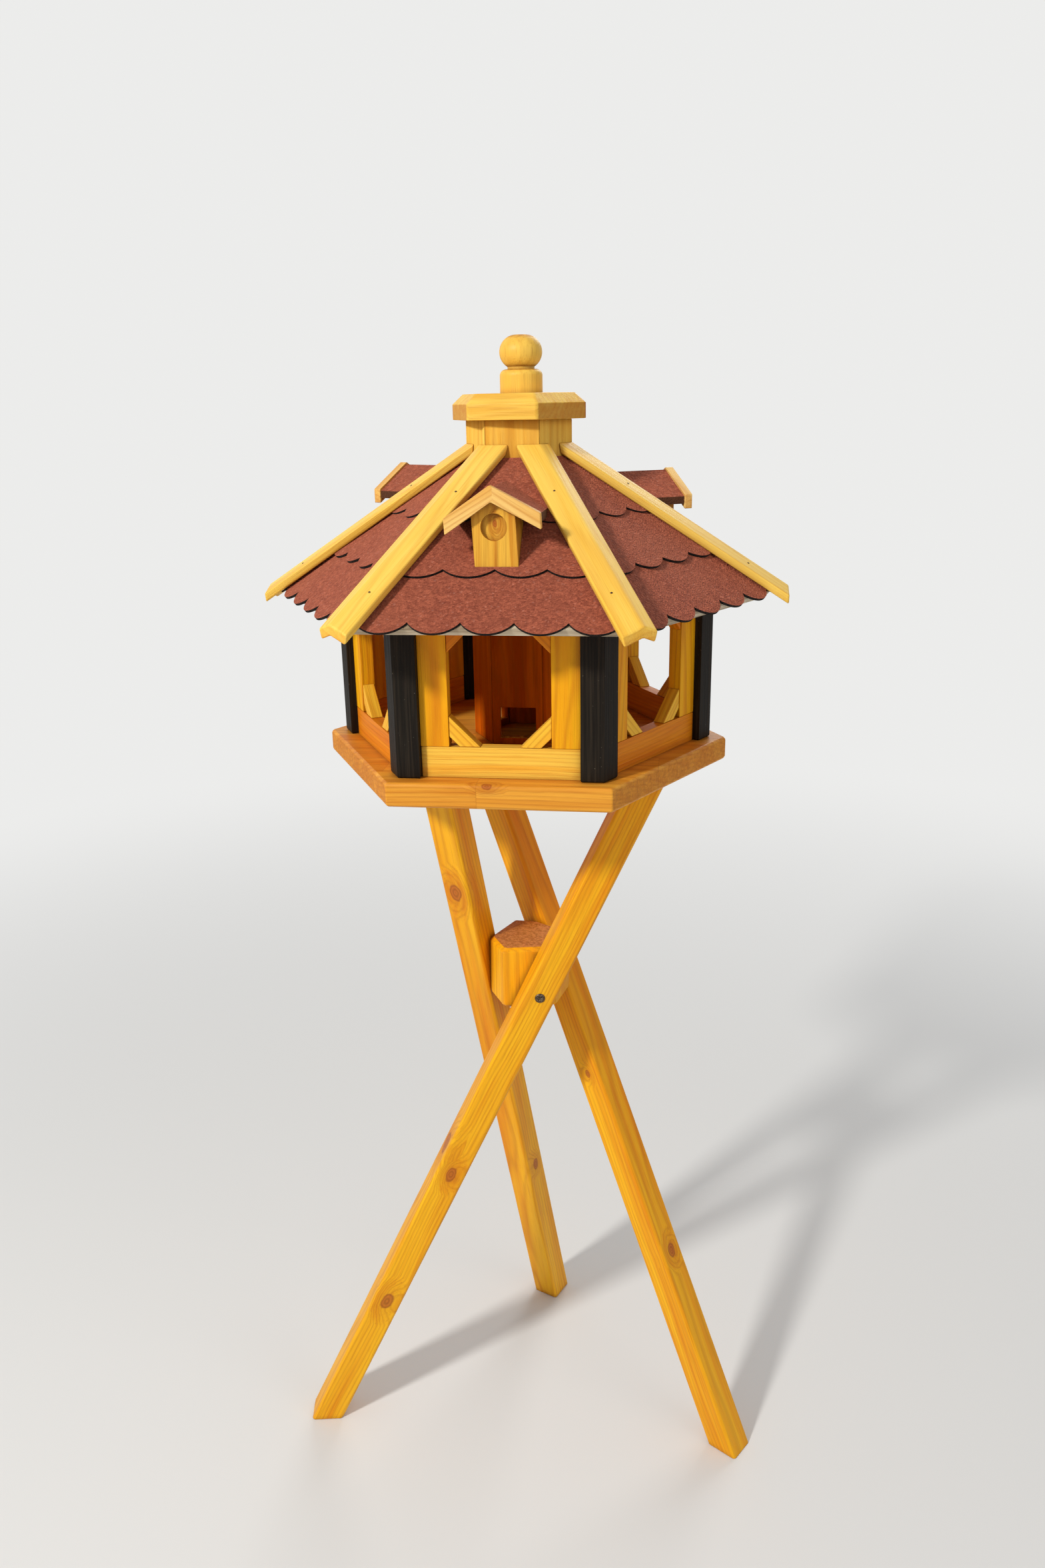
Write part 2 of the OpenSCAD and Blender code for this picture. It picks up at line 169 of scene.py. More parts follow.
def noise(tree, vector, detail=2.0, rough=0.5, scale=1.0):
    node = add(tree, "ShaderNodeTexNoise")
    feed(tree, node.inputs["Vector"], vector)
    node.inputs["Scale"].default_value = scale
    node.inputs["Detail"].default_value = detail
    node.inputs["Roughness"].default_value = rough
    return node.outputs


def grain_noise(tree, vector, along, across, detail=2.0, rough=0.5):
    """Noise with one scale along X, the direction of the grain, and another across it."""
    return noise(tree, vector_calc(tree, "MULTIPLY", vector, (along, across, across)), detail, rough)


def mix(tree, factor, a, b):
    node = add(tree, "ShaderNodeMix", data_type="RGBA")
    feed(tree, node.inputs["Factor"], factor)
    feed(tree, node.inputs[6], a)
    feed(tree, node.inputs[7], b)
    return node.outputs[2]


def ramp(tree, value, low, high, to_low=0.0, to_high=1.0):
    node = add(tree, "ShaderNodeMapRange", interpolation_type="SMOOTHSTEP")
    feed(tree, node.inputs["Value"], value)
    node.inputs["From Min"].default_value = low
    node.inputs["From Max"].default_value = high
    node.inputs["To Min"].default_value = to_low
    node.inputs["To Max"].default_value = to_high
    return node.outputs[0]


def turned(tree, vector, angle):
    """The vector turned about the upright axis."""
    node = add(tree, "ShaderNodeVectorRotate", rotation_type="AXIS_ANGLE")
    feed(tree, node.inputs["Vector"], vector)
    node.inputs["Axis"].default_value = (0.0, 0.0, 1.0)
    feed(tree, node.inputs["Angle"], angle)
    return node.outputs[0]


def new_group(name, inputs, outputs):
    group = bpy.data.node_groups.new(name, "ShaderNodeTree")
    for label, kind in inputs:
        group.interface.new_socket(label, in_out="INPUT", socket_type=kind)
    for label, kind in outputs:
        group.interface.new_socket(label, in_out="OUTPUT", socket_type=kind)
    source = add(group, "NodeGroupInput")
    target = add(group, "NodeGroupOutput")
    return group, source.outputs, target.inputs


def use_group(tree, group, **values):
    node = add(tree, "ShaderNodeGroup", node_tree=group)
    for label, value in values.items():
        feed(tree, node.inputs[label], value)
    return node.outputs


# wood as it grows
FLOAT = "NodeSocketFloat"
VECTOR = "NodeSocketVector"
COLOUR = "NodeSocketColor"
# how far the grain strays, where the heart of the tree lies, radians of ring per metre away from it
GRAIN_BEND = (0.0, 0.05, 0.05)
HEART_OFFSET = (0.0, 0.031, 0.047)
RING_PHASE = 1150.0
RING_WAVER = 5.0
RING_SHARPNESS = 3.0
# shares of the darker colours in broad tones, pores, sawn ends and the torn fibres there
TONE_SHARE = 0.55
PORE_SHARE = 0.4
END_SHARE = 0.85
TORN_SHARE = 0.9
# heights of late wood and streaks over those of the fibres; roughness of face, fibres and sawn ends
LATE_HEIGHT = 0.25
STREAK_HEIGHT = 0.6
FACE_ROUGHNESS = 0.33
FIBRE_ROUGHNESS = 0.22
END_ROUGHNESS = 0.2
# a knot's width over its length along the grain, its stray from round, and radians of ring in its radius
KNOT_SQUEEZE = 0.6
KNOT_WOBBLE = 0.006
KNOT_WOBBLE_SCALE = 60.0
KNOT_RINGS = 14.0
# depths between which the far side of a bar fades out
FAR_SIDE = (-0.002, 0.004)


def make_wood_group():
    """Sawn, stained softwood with its grain along X: growth rings, streaks, fibres, end grain."""
    group, given, result = new_group(
        "solid_wood",
        [("Vector", VECTOR), ("Normal", VECTOR), ("Light", COLOUR), ("Dark", COLOUR),
         ("Line", COLOUR), ("End", COLOUR), ("Rings", FLOAT), ("Streaks", FLOAT)],
        [("Color", COLOUR), ("Height", FLOAT), ("Roughness", FLOAT)])
    place = given["Vector"]
    drift = grain_noise(group, place, 1.7, 9.0)["Color"]
    bend = vector_calc(group, "SUBTRACT", drift, (0.5, 0.5, 0.5))
    bent = vector_calc(group, "ADD", place, vector_calc(group, "MULTIPLY", bend, GRAIN_BEND))
    across = vector_calc(group, "MULTIPLY", bent, (0.0, 1.0, 1.0))
    from_heart = vector_calc(group, "LENGTH", vector_calc(group, "ADD", across, HEART_OFFSET))
    spread = grain_noise(group, bent, 0.5, 60.0, 1.0)["Fac"]
    phase = calc(group, "MULTIPLY", from_heart, RING_PHASE)
    phase = calc(group, "MULTIPLY_ADD", spread, RING_WAVER, phase)
    wave = calc(group, "MULTIPLY_ADD", calc(group, "SINE", phase), 0.5, 0.5)
    late = calc(group, "POWER", wave, RING_SHARPNESS)
    streak = grain_noise(group, bent, 2.6, 95.0, 3.0, 0.6)["Fac"]
    tone = grain_noise(group, place, 1.1, 16.0)["Fac"]
    fibre = grain_noise(group, place, 16.0, 700.0, 2.0, 0.6)["Fac"]
    streaky = calc(group, "MULTIPLY", ramp(group, streak, 0.34, 0.7), given["Streaks"])
    share = calc(group, "ADD", streaky, ramp(group, tone, 0.32, 0.72, 0.0, TONE_SHARE), clamp=True)
    colour = mix(group, share, given["Light"], given["Dark"])
    lines = calc(group, "MULTIPLY", late, given["Rings"])
    colour = mix(group, lines, colour, given["Line"])
    pores = ramp(group, fibre, 0.52, 0.78, 0.0, PORE_SHARE)
    colour = mix(group, pores, colour, given["Line"])
    along = calc(group, "ABSOLUTE", split(group, given["Normal"])[0])
    end = ramp(group, along, 0.75, 0.95)
    torn = grain_noise(group, place, 20.0, 230.0, 4.0, 0.75)["Fac"]
    sawn = mix(group, ramp(group, torn, 0.38, 0.62, 0.0, TORN_SHARE), given["End"], given["Line"])
    colour = mix(group, calc(group, "MULTIPLY", end, END_SHARE), colour, sawn)
    height = calc(group, "ADD", calc(group, "MULTIPLY", late, LATE_HEIGHT), fibre)
    height = calc(group, "MULTIPLY_ADD", streak, STREAK_HEIGHT, height)
    roughness = calc(group, "MULTIPLY_ADD", fibre, FIBRE_ROUGHNESS, FACE_ROUGHNESS)
    roughness = calc(group, "MULTIPLY_ADD", end, END_ROUGHNESS, roughness)
    feed(group, result["Color"], colour)
    feed(group, result["Height"], height)
    feed(group, result["Roughness"], roughness)
    return group


def make_knot_group():
    """A branch through a bar whose grain runs along X: core mask, the halo round it, ring lines in it."""
    group, given, result = new_group(
        "knot", [("Vector", VECTOR), ("Along", FLOAT), ("Facing", VECTOR), ("Size", FLOAT)],
        [("Core", FLOAT), ("Halo", FLOAT), ("Rings", FLOAT)])
    wobble = noise(group, given["Vector"], scale=KNOT_WOBBLE_SCALE)["Fac"]
    shake = calc(group, "MULTIPLY_ADD", wobble, KNOT_WOBBLE, -KNOT_WOBBLE / 2)
    x, y, z = split(group, given["Vector"])
    facing_y, facing_z = split(group, given["Facing"])[1:]
    along = calc(group, "MULTIPLY", calc(group, "SUBTRACT", x, given["Along"]), KNOT_SQUEEZE)
    left = calc(group, "MULTIPLY", y, facing_z)
    aside = calc(group, "SUBTRACT", left, calc(group, "MULTIPLY", z, facing_y))
    outward = calc(group, "MULTIPLY", y, facing_y)
    outward = calc(group, "ADD", outward, calc(group, "MULTIPLY", z, facing_z))
    distance = vector_calc(group, "LENGTH", join(group, along, aside, 0.0))
    relative = calc(group, "DIVIDE", calc(group, "ADD", distance, shake), given["Size"])
    same_side = ramp(group, outward, *FAR_SIDE)
    core = calc(group, "MULTIPLY", ramp(group, relative, 0.75, 1.1, 1.0, 0.0), same_side)
    halo = calc(group, "MULTIPLY", ramp(group, relative, 0.8, 3.4, 1.0, 0.0), same_side)
    wave = calc(group, "SINE", calc(group, "MULTIPLY", relative, KNOT_RINGS))
    rings = calc(group, "MULTIPLY_ADD", wave, 0.5, 0.5)
    feed(group, result["Core"], core)
    feed(group, result["Halo"], halo)
    feed(group, result["Rings"], rings)
    return group


WOOD = make_wood_group()
KNOT = make_knot_group()

# materials

# painted shade in corners, joints and recesses: how far from a corner it reaches, its most, and the share
# of black-brown in its colour
CORNER_SHADE_REACH = 0.012
CORNER_SHADE_MOST = 0.55
CORNER_SHADE_TINT = 0.55
# steps between the seeds of neighbouring pieces, of mirrored halves, and of glued rows and lengths
PIECE_SEED = 3.7
HAND_SEED = 1.3
ROW_SEED = 1.7
LENGTH_SEED = 2.9
# a seed moves the grain along by itself and aside by this share
SEED_ASIDE = 0.37
# share of a length by which glued rows are staggered, distances over which a glue line fades, its shade
ROW_STAGGER = 0.37
GLUE_LINE = (0.0002, 0.0008)
GLUE_SHARE = 0.3
# how far the grain runs round a knot, and how strongly its halo and core show
KNOT_PUSH = 0.011
HALO_SHARE = 0.25
CORE_SHARE = 0.8
# heights between which the silo passes from its shade painted inside the house to its paler colour above
# the roof
INSIDE_SHADE_HEIGHTS = (1.28, 1.33)
# granules, their clumps and broad clouds on the felt, per metre
GRANULE_SCALE = 480.0
CLUMP_SCALE = 170.0
CLOUD_SCALE = 9.0
# upward part of the normal between a cut edge and the face of the felt, and of the boards' underside
CUT_TO_FACE = (0.64, 0.72)
UNDERSIDE = (-0.72, -0.6)
# stains on the steel, per metre, and how much rougher they are
STEEL_STAIN_SCALE = 700.0
STEEL_STAIN_ROUGHNESS = 0.2
# depths of the bumps
WOOD_BUMP = 0.0004
POST_BUMP = 0.0006
FELT_BUMP = 0.0009
BOARD_BUMP = 0.0005
STEEL_BUMP = 0.0001


def painted_corner_shade(tree, colour, corner_shade_colour):
    """Paints shade into a colour in corners, joints and recesses, where ambient occlusion finds them."""
    node = add(tree, "ShaderNodeAmbientOcclusion", samples=6)
    node.inputs["Distance"].default_value = CORNER_SHADE_REACH
    return mix(tree, ramp(tree, node.outputs["AO"], 0.35, 0.9, CORNER_SHADE_MOST, 0.0), colour, corner_shade_colour)


def start_material(name):
    material = bpy.data.materials.new(name)
    material.use_nodes = True
    tree = material.node_tree
    tree.nodes.clear()
    shader = add(tree, "ShaderNodeBsdfPrincipled")
    target = add(tree, "ShaderNodeOutputMaterial")
    tree.links.new(shader.outputs[0], target.inputs["Surface"])
    return material, tree, shader


def bumped(tree, shader, height, distance):
    node = add(tree, "ShaderNodeBump")
    node.inputs["Distance"].default_value = distance
    node.inputs["Strength"].default_value = 1.0
    tree.links.new(height, node.inputs["Height"])
    tree.links.new(node.outputs[0], shader.inputs["Normal"])


def piece_frame(tree, first_bearing, mirrored=False):
    """Place and normal in the frame of the first of six like pieces, and a seed for each piece.

    The seed of the first piece is 0. Mirrored pieces lie in pairs, and the halves of a pair
    have different seeds. Without a bearing there is only one piece.
    """
    source = add(tree, "ShaderNodeTexCoord").outputs
    place, normal = source["Object"], source["Normal"]
    if first_bearing is None:
        return place, normal, 0.0
    x, y, z = split(tree, place)
    bearing = calc(tree, "SUBTRACT", calc(tree, "ARCTAN2", y, x), math.radians(first_bearing))
    number = calc(tree, "ROUND", calc(tree, "DIVIDE", bearing, SIXTH))
    back = calc(tree, "MULTIPLY", number, -SIXTH)
    place = turned(tree, place, back)
    normal = turned(tree, normal, back)
    seed = calc(tree, "MULTIPLY", number, PIECE_SEED)
    if mirrored:
        x, y, z = split(tree, place)
        hand = calc(tree, "SIGN", x)
        place = join(tree, calc(tree, "ABSOLUTE", x), y, z)
        nx, ny, nz = split(tree, normal)
        normal = join(tree, calc(tree, "MULTIPLY", nx, hand), ny, nz)
        seed = calc(tree, "MULTIPLY_ADD", hand, HAND_SEED, seed)
    return place, normal, seed


def glued(tree, local, length, width, seed):
    """Seeds of the staggered lengths that a board is glued up from, and a mask of the glue lines."""
    x, y, z = split(tree, local)
    row = calc(tree, "ADD", calc(tree, "DIVIDE", y, width), 0.5)
    row_number = calc(tree, "FLOOR", row)
    stagger = calc(tree, "MULTIPLY", row_number, ROW_STAGGER)
    piece = calc(tree, "ADD", calc(tree, "DIVIDE", x, length), stagger)
    seed = calc(tree, "MULTIPLY_ADD", row_number, ROW_SEED, seed)
    seed = calc(tree, "MULTIPLY_ADD", calc(tree, "FLOOR", piece), LENGTH_SEED, seed)
    beside = calc(tree, "MULTIPLY", calc(tree, "PINGPONG", row, 0.5), width)
    before = calc(tree, "MULTIPLY", calc(tree, "PINGPONG", piece, 0.5), length)
    return seed, ramp(tree, calc(tree, "MINIMUM", beside, before), *GLUE_LINE, GLUE_SHARE, 0.0)


def recoloured(tree, mask, colours, others):
    """A pair of colours, and another pair in its stead where the mask is 1."""
    return [mix(tree, mask, colour, srgb(*other)) for colour, other in zip(colours, others)]


def wood_material(name, colours, grain, seed, rings=0.4, streaks=0.6, first_bearing=None, mirrored=False,
                  origin=(0.0, 0.0, 0.0), knots=(), planks=None, shaded_inside=None, front=None, end=None,
                  gloss=0.18, coat=0.04):
    """Stained wood; grain holds the directions along and across it as its rows.

    rings and streaks say how strongly the ring lines and the dark streaks show.
    Each knot has a place along the grain from the origin, the side it faces and a radius.
    planks is the length and width of the pieces that a board is glued up from. The next two are the pair
    of colours painted darker as shade on the silo inside the house, and the pair painted paler as light
    on the front board; end is the colour of sawn ends.
    """
    material, tree, shader = start_material(name)
    light, dark, line = (srgb(*colour) for colour in colours)
    place, normal, piece_seed = piece_frame(tree, first_bearing, mirrored)
    place = vector_calc(tree, "SUBTRACT", place, origin)
    rows = [tuple(row) for row in grain]
    local = join(tree, *[vector_calc(tree, "DOT_PRODUCT", place, row) for row in rows])
    facing = join(tree, *[vector_calc(tree, "DOT_PRODUCT", normal, row) for row in rows])
    shift = calc(tree, "ADD", piece_seed, seed)
    if planks:
        shift, glue = glued(tree, local, *planks, shift)
    moved = join(tree, shift, calc(tree, "MULTIPLY", shift, SEED_ASIDE), shift)
    moved = vector_calc(tree, "ADD", local, moved)
    branches = []
    for along, towards, size in knots:
        branches.append(use_group(tree, KNOT, Vector=local, Along=along, Facing=towards, Size=size))
    if branches:
        halo = 0.0
        for branch in branches:
            halo = calc(tree, "MAXIMUM", branch["Halo"], halo)
        pushed = calc(tree, "MULTIPLY", halo, KNOT_PUSH)
        moved = vector_calc(tree, "ADD", moved, join(tree, 0.0, pushed, pushed))
    pair = light, dark
    # the silo is painted darker inside the house, as painted shade, and paler above the roof
    if shaded_inside:
        height = split(tree, add(tree, "ShaderNodeTexCoord").outputs["Object"])[2]
        pair = recoloured(tree, ramp(tree, height, *INSIDE_SHADE_HEIGHTS, 1.0, 0.0), pair, shaded_inside)
    # the front rails are painted paler, as painted light, and the rails on the other sides darker, as
    # painted shade
    if front:
        at_front = calc(tree, "LESS_THAN", calc(tree, "ABSOLUTE", piece_seed), 0.5)
        pair = recoloured(tree, at_front, pair, front)
    grown = use_group(tree, WOOD, Vector=moved, Normal=facing, Light=pair[0], Dark=pair[1], Line=line,
                      End=srgb(*end) if end else dark, Rings=rings, Streaks=streaks)
    colour = grown["Color"]
    if planks:
        colour = mix(tree, glue, colour, line)
    for branch in branches:
        core = mix(tree, branch["Rings"], srgb(*KNOT_DARK), srgb(*KNOT_LIGHT))
        colour = mix(tree, calc(tree, "MULTIPLY", branch["Halo"], HALO_SHARE), colour, line)
        colour = mix(tree, calc(tree, "MULTIPLY", branch["Core"], CORE_SHARE), colour, core)
    # shade painted into corners, joints and recesses
    colour = painted_corner_shade(tree, colour, mix(tree, CORNER_SHADE_TINT, line, srgb(*WOOD_CORNER_SHADE)))
    tree.links.new(colour, shader.inputs["Base Color"])
    tree.links.new(grown["Roughness"], shader.inputs["Roughness"])
    shader.inputs["Specular IOR Level"].default_value = gloss
    shader.inputs["Coat Weight"].default_value = coat
    shader.inputs["Coat Roughness"].default_value = 0.3
    bumped(tree, shader, grown["Height"], WOOD_BUMP)
    return material


def black_material():
    """Opaque black stain on planed wood, with raised fibres, darker patches and pale specks."""
    material, tree, shader = start_material("black_posts")
    place, _, seed = piece_frame(tree, AT_CORNERS)
    x, y, z = split(tree, place)
    local = join(tree, calc(tree, "ADD", z, seed), y, x)
    fibre = grain_noise(tree, local, 9.0, 420.0, 3.0, 0.6)["Fac"]
    patch = grain_noise(tree, local, 7.0, 40.0, 3.0)["Fac"]
    specks = noise(tree, place, 1.0, scale=420.0)["Fac"]
    colour = mix(tree, ramp(tree, fibre, 0.4, 0.75), srgb(*STAIN_DARK), srgb(*STAIN_LIGHT))
    colour = mix(tree, ramp(tree, patch, 0.5, 0.75, 0.0, 0.5), colour, srgb(*STAIN_PATCH))
    colour = mix(tree, ramp(tree, specks, 0.76, 0.82, 0.0, 0.6), colour, srgb(*STAIN_SPECK))
    tree.links.new(colour, shader.inputs["Base Color"])
    tree.links.new(ramp(tree, fibre, 0.3, 0.7, 0.42, 0.6), shader.inputs["Roughness"])
    shader.inputs["Specular IOR Level"].default_value = 0.12
    bumped(tree, shader, fibre, POST_BUMP)
    return material


def felt_material(name, cut_colour):
    """Mineral felt: red granules over bitumen, which shows at the cut edges."""
    material, tree, shader = start_material(name)
    source = add(tree, "ShaderNodeTexCoord").outputs
    place = source["Object"]
    granules = add(tree, "ShaderNodeTexVoronoi")
    tree.links.new(place, granules.inputs["Vector"])
    granules.inputs["Scale"].default_value = GRANULE_SCALE
    clumps = noise(tree, place, 3.0, 0.6, CLUMP_SCALE)["Fac"]
    clouds = noise(tree, place, 3.0, 0.55, CLOUD_SCALE)["Fac"]
    shade, chance = split(tree, granules.outputs["Color"])[:2]
    colour = mix(tree, shade, srgb(*GRANULE_DARK), srgb(*GRANULE_LIGHT))
    colour = mix(tree, ramp(tree, clumps, 0.4, 0.7, 0.0, 0.5), colour, srgb(*CLUMP))
    colour = mix(tree, ramp(tree, clouds, 0.35, 0.7, 0.0, 0.3), colour, srgb(*CLOUD))
    colour = mix(tree, ramp(tree, chance, 0.95, 0.98, 0.0, 0.2), colour, srgb(*GRANULE_PALE))
    upward = split(tree, source["Normal"])[2]
    colour = mix(tree, ramp(tree, upward, *CUT_TO_FACE, 1.0, 0.0), colour, srgb(*cut_colour))
    tree.links.new(colour, shader.inputs["Base Color"])
    shader.inputs["Roughness"].default_value = 0.92
    shader.inputs["Diffuse Roughness"].default_value = 1.0
    shader.inputs["Specular IOR Level"].default_value = 0.25
    bumped(tree, shader, calc(tree, "ADD", granules.outputs["Distance"], clumps), FELT_BUMP)
    return material


def roof_board_material():
    """Unstained sheathing, greyed where it meets the weather at the eave, stained below."""
    material, tree, shader = start_material("roof_boards")
    place, normal, seed = piece_frame(tree, ON_SIDES)
    local = vector_calc(tree, "ADD", place, join(tree, seed, 0.0, 0.0))
    light, dark, line = (srgb(*colour) for colour in ROOF_BOARD_WOOD)
    grown = use_group(tree, WOOD, Vector=local, Normal=(0.0, 0.0, 1.0), Light=light, Dark=dark, Line=line,
                      Rings=0.35, Streaks=0.6)
    fibre = grain_noise(tree, local, 12.0, 160.0, 3.0)["Fac"]
    bare = mix(tree, ramp(tree, fibre, 0.35, 0.68), srgb(*BARE_LIGHT), srgb(*BARE_DARK))
    below = ramp(tree, split(tree, normal)[2], *UNDERSIDE, 1.0, 0.0)
    tree.links.new(mix(tree, below, bare, grown["Color"]), shader.inputs["Base Color"])
    shader.inputs["Roughness"].default_value = 0.7
    bumped(tree, shader, fibre, BOARD_BUMP)
    return material


def steel_material(name, low, high, roughness):
    """Steel of a screw or nail, with small rough stains."""
    material, tree, shader = start_material(name)
    source = add(tree, "ShaderNodeTexCoord").outputs
    stains = noise(tree, source["Object"], 3.0, 0.6, STEEL_STAIN_SCALE)["Fac"]
    colour = mix(tree, ramp(tree, stains, 0.35, 0.7), srgb(*low), srgb(*high))
    rougher = ramp(tree, stains, 0.3, 0.7, roughness, roughness + STEEL_STAIN_ROUGHNESS)
    tree.links.new(colour, shader.inputs["Base Color"])
    tree.links.new(rougher, shader.inputs["Roughness"])
    shader.inputs["Metallic"].default_value = 0.9
    bumped(tree, shader, stains, STEEL_BUMP)
    return material


def grain_rows(along, across):
    """Rows of a turn into a frame whose X is the given direction of the grain."""
    x = Vector(along).normalized()
    y = (Vector(across) - x * x.dot(Vector(across))).normalized()
    return Matrix((x, y, x.cross(y)))


def falling(angle):
    """Grain that falls outward along X at an angle."""
    return grain_rows((math.cos(angle), 0, -math.sin(angle)), (0, 1, 0))


UPRIGHT = grain_rows((0, 0, 1), (1, 0, 0))
LEVEL = grain_rows((1, 0, 0), (0, 1, 0))

# widths of the eased edges, steps of those that are plainly round, and the least angle of an edge
SHARP_EDGE = 0.001
SAWN_EDGE = 0.0012
PLATE_EDGE = 0.0015
STRIP_EDGE = 0.0022
PLANED_EDGE = 0.0025
HUB_EDGE = 0.003
ROUND_STEPS = 3
LEAST_EDGE_ANGLE = math.radians(25)
WELD_REACH = 1e-5


def paint(name, material):
    """Gives a CAD node one material."""
    node = nodes[name]
    if not node.material_slots:
        node.data.materials.append(material)
    for slot in node.material_slots:
        slot.material = material


def ease(name, width, steps=2):
    """Rounds the arrises of a sawn piece and keeps its flat faces flat in the light."""
    node = nodes[name]
    weld = node.modifiers.new("weld", "WELD")
    weld.merge_threshold = WELD_REACH
    bevel = node.modifiers.new("eased_edges", "BEVEL")
    bevel.width = width
    bevel.segments = steps
    bevel.limit_method = "ANGLE"
    bevel.angle_limit = LEAST_EDGE_ANGLE
    flat = node.modifiers.new("flat_faces", "WEIGHTED_NORMAL")
    flat.weight = 100


def leg_frame(leg):
    """Outward direction, direction up along the leg, and the point where it passes the axis."""
    turn, lean = math.radians(leg["turn"]), math.radians(leg["lean"])
    out = Vector((math.sin(turn), -math.cos(turn), 0))
    tangent = Vector((math.cos(turn), math.sin(turn), 0))
    up = tangent * math.sin(lean) + Vector((0, 0, math.cos(lean)))
    return out, up, out * LEG_OFFSET + Vector((0, 0, leg["cross"]))


# legs and hub
OUTER_FACE, INNER_FACE = (0.0, 1.0, 0.0), (0.0, -1.0, 0.0)
# seen from outside with the head up, the third direction of a leg's frame points to the right
LEFT_FACE, RIGHT_FACE = (0.0, 0.0, -1.0), (0.0, 0.0, 1.0)
LEG_SEEDS = {"leg_front": 0.4, "leg_right": 2.3, "leg_rear": 4.2}
LEG_KNOTS = {
    "leg_front": [(-0.487, OUTER_FACE, 0.0085), (-0.262, OUTER_FACE, 0.007), (-0.232, LEFT_FACE, 0.011)],
    "leg_right": [(-0.43, LEFT_FACE, 0.0065), (-0.16, INNER_FACE, 0.004)],
    "leg_rear": [(-0.31, INNER_FACE, 0.0065), (0.21, RIGHT_FACE, 0.009)],
}
for name, leg in LEGS.items():
    out, up, middle = leg_frame(leg)
    paint(name, wood_material("wood_" + name, LEG_WOOD, grain_rows(up, out), seed=LEG_SEEDS[name],
                              rings=0.3, origin=tuple(middle), knots=LEG_KNOTS[name]))
    ease(name, SAWN_EDGE)
paint("hub_block", wood_material("wood_hub", HUB_WOOD, UPRIGHT, seed=5.2, rings=0.2, end=HUB_END))
ease("hub_block", HUB_EDGE, ROUND_STEPS)

# base plate: its front row has a joint left of the middle, and beside that a knot in the upper edge
PLATE_JOINT = -0.024
PLATE_KNOT_DEPTH = 0.006
PLATE_KNOT = (0.012, (0.0, -0.7, 0.7), 0.0045)
PLATE_PLANKS = (0.31, 0.074)
plate_origin = (PLATE_JOINT, PLATE_KNOT_DEPTH - PLATE_APOTHEM, FLOOR_Z - PLATE_KNOT_DEPTH)
paint("base_plate", wood_material("wood_plate", PLATE_WOOD, LEVEL, seed=2.6, rings=0.3, streaks=0.7,
                                  origin=plate_origin, planks=PLATE_PLANKS, knots=[PLATE_KNOT]))
ease("base_plate", PLATE_EDGE)

# walls
stile_wood = wood_material("wood_stiles", STILE_WOOD, UPRIGHT, seed=0.9, first_bearing=ON_SIDES,
                           mirrored=True)
for side in SIDES:
    paint("stiles_" + side, stile_wood)
    ease("stiles_" + side, SAWN_EDGE)
# rails off the front are painted darker and more orange as shade, the front rails paler as light
rails_lit_and_shaded = wood_material("wood_rails_painted_light_and_shade", RAIL_WOOD_PAINTED_SHADE, LEVEL, seed=4.1, rings=0.2, streaks=0.7,
                          first_bearing=ON_SIDES, front=FRONT_RAIL_PAINTED_LIGHT)
for name in ("bottom_rails", "top_rails"):
    paint(name, rails_lit_and_shaded)
    ease(name, SAWN_EDGE)
# the upper braces take the rail colours, painted darker as shade under the eave; the lower braces are
# paler
BRACES = {"lower_braces": ((1, 0, 1), LOWER_BRACE_WOOD), "upper_braces": ((1, 0, -1), RAIL_WOOD_PAINTED_SHADE)}
for name, (along, colours) in BRACES.items():
    paint(name, wood_material("wood_" + name, colours, grain_rows(along, (0, 1, 0)), seed=7.3,
                              first_bearing=ON_SIDES, mirrored=True))
    ease(name, SAWN_EDGE)
paint("corner_posts", black_material())
ease("corner_posts", PLANED_EDGE, ROUND_STEPS)

# roof
slope = math.radians(ROOF_PITCH)
felt = felt_material("red_roofing_felt", CUT_BITUMEN)
board = roof_board_material()
for side in SIDES:
    paint("roof_panel_" + side, board)
    paint("shingles_" + side, felt)
hip_fall = math.atan(math.tan(slope) * math.cos(HALF_SIXTH))
strip_wood = wood_material("wood_hip_strips", STRIP_WOOD, falling(hip_fall), seed=3.3, rings=0.25,
                           streaks=0.5, first_bearing=AT_CORNERS, end=STRIP_END)
for corner in CORNERS:
    paint("hip_strip_" + corner, strip_wood)
    ease("hip_strip_" + corner, STRIP_EDGE, ROUND_STEPS)

# dormers, with a knot in the round recess
DORMER_KNOT = (1.27, (0.0, 0.0, -1.0), 0.003)
dormer_wood = wood_material("wood_dormers", DORMER_WOOD, UPRIGHT, seed=6.1, rings=0.3, streaks=0.95,
                            first_bearing=ON_SIDES, knots=[DORMER_KNOT])
dormer_felt = felt_material("red_dormer_felt", CUT_DORMER_FELT)
barge_wood = wood_material("wood_barge_boards", BARGE_WOOD, falling(math.radians(DORMER_PITCH)), seed=8.8,
                           first_bearing=ON_SIDES, mirrored=True)
for side in DORMER_SIDES:
    paint("dormer_body_" + side, dormer_wood)
    ease("dormer_body_" + side, SHARP_EDGE)
    paint("dormer_roof_" + side, dormer_felt)
    paint("barge_boards_" + side, barge_wood)
    ease("barge_boards_" + side, SAWN_EDGE)

